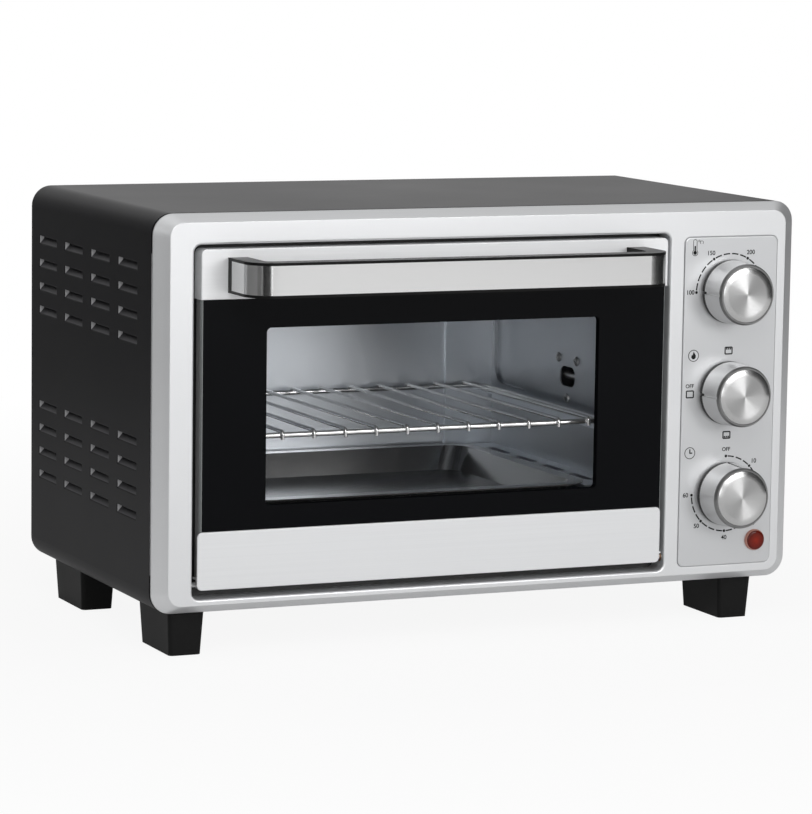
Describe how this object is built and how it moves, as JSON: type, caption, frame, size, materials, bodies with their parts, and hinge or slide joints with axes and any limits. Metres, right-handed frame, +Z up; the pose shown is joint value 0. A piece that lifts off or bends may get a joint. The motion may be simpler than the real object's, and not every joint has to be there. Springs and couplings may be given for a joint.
{
  "type": "toaster oven",
  "caption": "Countertop toaster oven with a drop-down glass door, bar handle, stacked dials, louvred casing, wire rack and baking tray.",
  "frame": {"origin": "on the table plane under the middle of the oven's overall width and depth, handle and cord gland included", "axes": "+X to the user's right along the front, +Y from the front to the rear, +Z up"},
  "size_m": [0.4, 0.2568, 0.2484],
  "materials": {
    "silver_fascia": "satin silver paint",
    "silver_panel": "fine brushed silver with printed marks",
    "casing_paint": "satin charcoal powder coat",
    "silver_trim": "satin silver",
    "door_glass": "clear tempered glass with a dark printed border",
    "black_enamel": "gloss black enamel",
    "handle_plastic": "satin black moulding",
    "handle_steel": "brushed along its length",
    "foot_plastic": "matte black moulding",
    "black_plastic": "matte black moulding",
    "knob_metal": "satin silver sides",
    "knob_face": "spun face",
    "lamp_red": "translucent orange-red",
    "liner_steel": "galvanised sheet",
    "rack_chrome": "bright plated wire",
    "tray_enamel": "dark semi-gloss non-stick coat",
    "heater_sheath": "dull heat-stained sheath",
    "bush_ceramic": "matte white ceramic",
    "sensor_steel": "plain galvanised sheet",
    "sensor_tube": "copper bulb and capillary",
    "screw_steel": "zinc plate",
    "hinge_steel": "plain bright pin",
    "hinge_bronze": "plain bronze bush",
    "nut_steel": "zinc plate",
    "control_case": "dark moulding with plated blades",
    "shaft_steel": "turned steel",
    "terminal_plastic": "off-white moulding",
    "lead_sleeve": "woven heat sleeve"
  },
  "bodies": {
    "housing": {"front_fascia": "silver_fascia", "control_panel": "silver_panel", "outer_casing": "casing_paint", "rear_panel": "casing_paint", "base_plate": "casing_paint", "foot_front_left": "foot_plastic", "foot_front_right": "foot_plastic", "foot_rear_left": "foot_plastic", "foot_rear_right": "foot_plastic", "cord_gland": "black_plastic", "lamp_body": "black_plastic", "lamp_lens": "lamp_red", "cavity_back_wall": "liner_steel", "cavity_floor": "liner_steel", "cavity_left_wall": "liner_steel", "cavity_right_wall": "liner_steel", "cavity_roof": "liner_steel", "rack_rail_left": "liner_steel", "rack_rail_right": "liner_steel", "tray_rail_left": "liner_steel", "tray_rail_right": "liner_steel", "upper_heater_rods": "heater_sheath", "lower_heater_rods": "heater_sheath", "heater_bushes": "bush_ceramic", "sensor_bracket": "sensor_steel", "thermostat_bulb": "sensor_tube", "base_screws": "screw_steel", "foot_screws": "screw_steel", "rear_screws": "screw_steel", "sensor_screws": "screw_steel", "hinge_bushes": "hinge_bronze", "control_nuts": "nut_steel", "thermostat": "control_case", "mode_switch": "control_case", "timer": "control_case", "terminal_block": "terminal_plastic", "wiring_leads": "lead_sleeve"},
    "door": {"door_top_trim": "silver_trim", "door_bottom_trim": "silver_trim", "door_glass": "door_glass", "door_frame": "black_enamel", "handle_body": "handle_plastic", "handle_strip": "handle_steel", "handle_screws": "screw_steel", "hinge_pins": "hinge_steel"},
    "rack": {"wire_rack": "rack_chrome"},
    "tray": {"baking_tray": "tray_enamel"},
    "temp_control": {"temp_knob": "knob_metal", "temp_knob_cap": "knob_face", "temp_shaft": "shaft_steel"},
    "mode_control": {"mode_knob": "knob_metal", "mode_knob_cap": "knob_face", "mode_shaft": "shaft_steel"},
    "timer_control": {"timer_knob": "knob_metal", "timer_knob_cap": "knob_face", "timer_shaft": "shaft_steel"}
  },
  "joints": [
    {"name": "door_hinge", "type": "hinge", "parent": "housing", "child": "door", "pos_m": [-0.0307, -0.08435, 0.0412], "axis": [1, 0, 0], "range_deg": [0, 85]},
    {"name": "rack_slide", "type": "slide", "parent": "housing", "child": "rack", "axis": [0, -1, 0], "range_m": [0, 0.0901]},
    {"name": "tray_slide", "type": "slide", "parent": "housing", "child": "tray", "axis": [0, -1, 0], "range_m": [0, 0.0446]},
    {"name": "temp_turn", "type": "hinge", "parent": "housing", "child": "temp_control", "pos_m": [0.1556, -0.09175, 0.1966], "axis": [0, 1, 0], "range_deg": [0, 180]},
    {"name": "mode_turn", "type": "hinge", "parent": "housing", "child": "mode_control", "pos_m": [0.1556, -0.09175, 0.137], "axis": [0, 1, 0], "range_deg": [0, 270]},
    {"name": "timer_turn", "type": "hinge", "parent": "housing", "child": "timer_control", "pos_m": [0.1556, -0.09175, 0.0774], "axis": [0, 1, 0], "range_deg": [0, 270]}
  ],
  "couplings": [
    {"joint": "rack_slide", "follows": "door_hinge", "m_per_rad": 0.0607},
    {"joint": "tray_slide", "follows": "door_hinge", "m_per_rad": 0.03}
  ]
}
